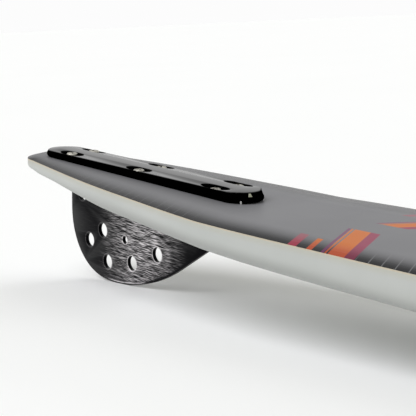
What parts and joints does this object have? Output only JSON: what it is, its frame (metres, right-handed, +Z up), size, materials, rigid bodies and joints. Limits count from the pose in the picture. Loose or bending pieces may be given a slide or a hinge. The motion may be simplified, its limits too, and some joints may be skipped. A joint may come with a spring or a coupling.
{
  "type": "slalom_water_ski",
  "caption": "Slalom water ski with a black deck, a white base and a drilled black fin in a crowned block that slides fore and aft, resting on fin and forebody.",
  "frame": {"origin": "On the floor under the middle of the whole ski.", "axes": "+X runs from the tail to the tip, +Y across the ski, +Z up. The ski lies as on a floor, on its fin and its forebody, so its deck at the tail is pitched nose-down by five degrees about Y."},
  "size_m": [1.7038, 0.172, 0.0959],
  "materials": {
    "deck_black": "glossy black top sheet",
    "laminate": "cream glass laminate, cut edge",
    "base_white": "satin white moulded base",
    "foam": "closed-cell foam",
    "insert_block": "dense composite block",
    "insert_steel": "turned stainless steel",
    "binding_steel": "turned stainless steel",
    "block_black": "smooth black, satin",
    "clamp_steel": "stainless steel",
    "screw_steel": "bright stainless steel",
    "fin_black": "brushed lengthways, black anodised"
  },
  "bodies": {
    "ski": {"deck_shell": "deck_black", "glass_laminate": "laminate", "base_shell": "base_white", "foam_core": "foam", "fin_insert_block": "insert_block", "fin_screw_insert_1": "insert_steel", "fin_screw_insert_2": "insert_steel", "fin_screw_insert_3": "insert_steel", "fin_screw_insert_4": "insert_steel", "fin_screw_insert_5": "insert_steel", "fin_screw_insert_6": "insert_steel", "binding_insert_1": "binding_steel", "binding_insert_2": "binding_steel", "binding_insert_3": "binding_steel", "binding_insert_4": "binding_steel", "binding_insert_5": "binding_steel", "binding_insert_6": "binding_steel", "binding_insert_7": "binding_steel", "binding_insert_8": "binding_steel", "binding_insert_9": "binding_steel", "binding_insert_10": "binding_steel", "fin_block_screw_1": "screw_steel", "fin_block_screw_2": "screw_steel", "fin_block_screw_3": "screw_steel", "fin_block_screw_4": "screw_steel", "fin_block_screw_5": "screw_steel", "fin_block_screw_6": "screw_steel"},
    "fin_block": {"fin_block": "block_black", "clamp_bar": "clamp_steel", "clamp_screw_1": "clamp_steel", "clamp_screw_2": "clamp_steel", "clamp_screw_3": "clamp_steel", "clamp_screw_4": "clamp_steel"},
    "fin": {"fin": "fin_black"}
  },
  "joints": [
    {"name": "fin_fore_aft", "type": "slide", "parent": "ski", "child": "fin_block", "axis": [0.9961, 0, -0.088], "range_m": [-0.004, 0.004]},
    {"name": "fin_depth", "type": "slide", "parent": "fin_block", "child": "fin", "axis": [0.088, 0, 0.9961], "range_m": [-0.002, 0.002]}
  ]
}
